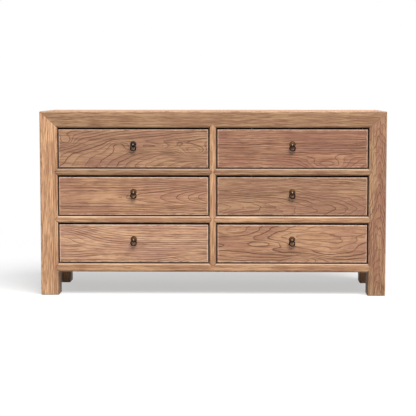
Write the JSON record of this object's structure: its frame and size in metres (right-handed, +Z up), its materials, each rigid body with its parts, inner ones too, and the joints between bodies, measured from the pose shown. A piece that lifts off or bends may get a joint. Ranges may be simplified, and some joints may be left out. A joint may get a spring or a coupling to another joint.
{
  "type": "dresser",
  "caption": "Low, wide solid-wood dresser: columns of recessed drawers with hanging ring pulls, in a frame of square post legs, beaked rails and a mitred top.",
  "frame": {"origin": "middle of the footprint, at the floor; the footprint includes the pulls' reach in front", "axes": "+X to the right seen from the front, +Y to the back, +Z up; the drawers face -Y"},
  "size_m": [1.6, 0.4616, 0.855],
  "materials": {
    "frame_wood": "matte waxed reclaimed elm, warm tan with brown grain",
    "drawer_wood": "matte waxed reclaimed elm, a little pinker, with dark cathedral grain",
    "inner_wood": "plain unfinished softwood",
    "aged_brass": "aged brass with a brown patina, rubbed brighter on the raised parts",
    "dark_iron": "dark oiled iron"
  },
  "bodies": {
    "case": {"front_left_post": "frame_wood", "front_right_post": "frame_wood", "back_left_post": "frame_wood", "back_right_post": "frame_wood", "front_top_rail": "frame_wood", "back_top_rail": "frame_wood", "left_top_rail": "frame_wood", "right_top_rail": "frame_wood", "top_boards": "frame_wood", "top_battens": "inner_wood", "front_bottom_rail": "frame_wood", "back_bottom_rail": "frame_wood", "left_bottom_rail": "frame_wood", "right_bottom_rail": "frame_wood", "left_drawer_rails": "frame_wood", "right_drawer_rails": "frame_wood", "centre_stile": "frame_wood", "back_stile": "inner_wood", "left_side_panel": "frame_wood", "right_side_panel": "frame_wood", "back_boards": "inner_wood", "side_runners": "inner_wood", "centre_runners": "inner_wood", "drawer_stops": "inner_wood"},
    "upper_left_drawer": {"upper_left_drawer_front": "drawer_wood", "upper_left_drawer_sides": "inner_wood", "upper_left_drawer_back": "inner_wood", "upper_left_drawer_bottom": "inner_wood", "upper_left_pull_fitting": "aged_brass"},
    "upper_left_ring": {"upper_left_pull_ring": "dark_iron"},
    "upper_right_drawer": {"upper_right_drawer_front": "drawer_wood", "upper_right_drawer_sides": "inner_wood", "upper_right_drawer_back": "inner_wood", "upper_right_drawer_bottom": "inner_wood", "upper_right_pull_fitting": "aged_brass"},
    "upper_right_ring": {"upper_right_pull_ring": "dark_iron"},
    "middle_left_drawer": {"middle_left_drawer_front": "drawer_wood", "middle_left_drawer_sides": "inner_wood", "middle_left_drawer_back": "inner_wood", "middle_left_drawer_bottom": "inner_wood", "middle_left_pull_fitting": "aged_brass"},
    "middle_left_ring": {"middle_left_pull_ring": "dark_iron"},
    "middle_right_drawer": {"middle_right_drawer_front": "drawer_wood", "middle_right_drawer_sides": "inner_wood", "middle_right_drawer_back": "inner_wood", "middle_right_drawer_bottom": "inner_wood", "middle_right_pull_fitting": "aged_brass"},
    "middle_right_ring": {"middle_right_pull_ring": "dark_iron"},
    "lower_left_drawer": {"lower_left_drawer_front": "drawer_wood", "lower_left_drawer_sides": "inner_wood", "lower_left_drawer_back": "inner_wood", "lower_left_drawer_bottom": "inner_wood", "lower_left_pull_fitting": "aged_brass"},
    "lower_left_ring": {"lower_left_pull_ring": "dark_iron"},
    "lower_right_drawer": {"lower_right_drawer_front": "drawer_wood", "lower_right_drawer_sides": "inner_wood", "lower_right_drawer_back": "inner_wood", "lower_right_drawer_bottom": "inner_wood", "lower_right_pull_fitting": "aged_brass"},
    "lower_right_ring": {"lower_right_pull_ring": "dark_iron"}
  },
  "joints": [
    {"name": "upper_left_drawer_slide", "type": "slide", "parent": "case", "child": "upper_left_drawer", "axis": [0, -1, 0], "range_m": [0, 0.3]},
    {"name": "upper_left_ring_swing", "type": "hinge", "parent": "upper_left_drawer", "child": "upper_left_ring", "pos_m": [-0.367, -0.2254, 0.69825], "axis": [-1, 0, 0], "range_deg": [-8, 165]},
    {"name": "upper_right_drawer_slide", "type": "slide", "parent": "case", "child": "upper_right_drawer", "axis": [0, -1, 0], "range_m": [0, 0.3]},
    {"name": "upper_right_ring_swing", "type": "hinge", "parent": "upper_right_drawer", "child": "upper_right_ring", "pos_m": [0.367, -0.2254, 0.69825], "axis": [-1, 0, 0], "range_deg": [-8, 165]},
    {"name": "middle_left_drawer_slide", "type": "slide", "parent": "case", "child": "middle_left_drawer", "axis": [0, -1, 0], "range_m": [0, 0.3]},
    {"name": "middle_left_ring_swing", "type": "hinge", "parent": "middle_left_drawer", "child": "middle_left_ring", "pos_m": [-0.367, -0.2254, 0.47775], "axis": [-1, 0, 0], "range_deg": [-8, 165]},
    {"name": "middle_right_drawer_slide", "type": "slide", "parent": "case", "child": "middle_right_drawer", "axis": [0, -1, 0], "range_m": [0, 0.3]},
    {"name": "middle_right_ring_swing", "type": "hinge", "parent": "middle_right_drawer", "child": "middle_right_ring", "pos_m": [0.367, -0.2254, 0.47775], "axis": [-1, 0, 0], "range_deg": [-8, 165]},
    {"name": "lower_left_drawer_slide", "type": "slide", "parent": "case", "child": "lower_left_drawer", "axis": [0, -1, 0], "range_m": [0, 0.3]},
    {"name": "lower_left_ring_swing", "type": "hinge", "parent": "lower_left_drawer", "child": "lower_left_ring", "pos_m": [-0.367, -0.2254, 0.25725], "axis": [-1, 0, 0], "range_deg": [-8, 165]},
    {"name": "lower_right_drawer_slide", "type": "slide", "parent": "case", "child": "lower_right_drawer", "axis": [0, -1, 0], "range_m": [0, 0.3]},
    {"name": "lower_right_ring_swing", "type": "hinge", "parent": "lower_right_drawer", "child": "lower_right_ring", "pos_m": [0.367, -0.2254, 0.25725], "axis": [-1, 0, 0], "range_deg": [-8, 165]}
  ]
}
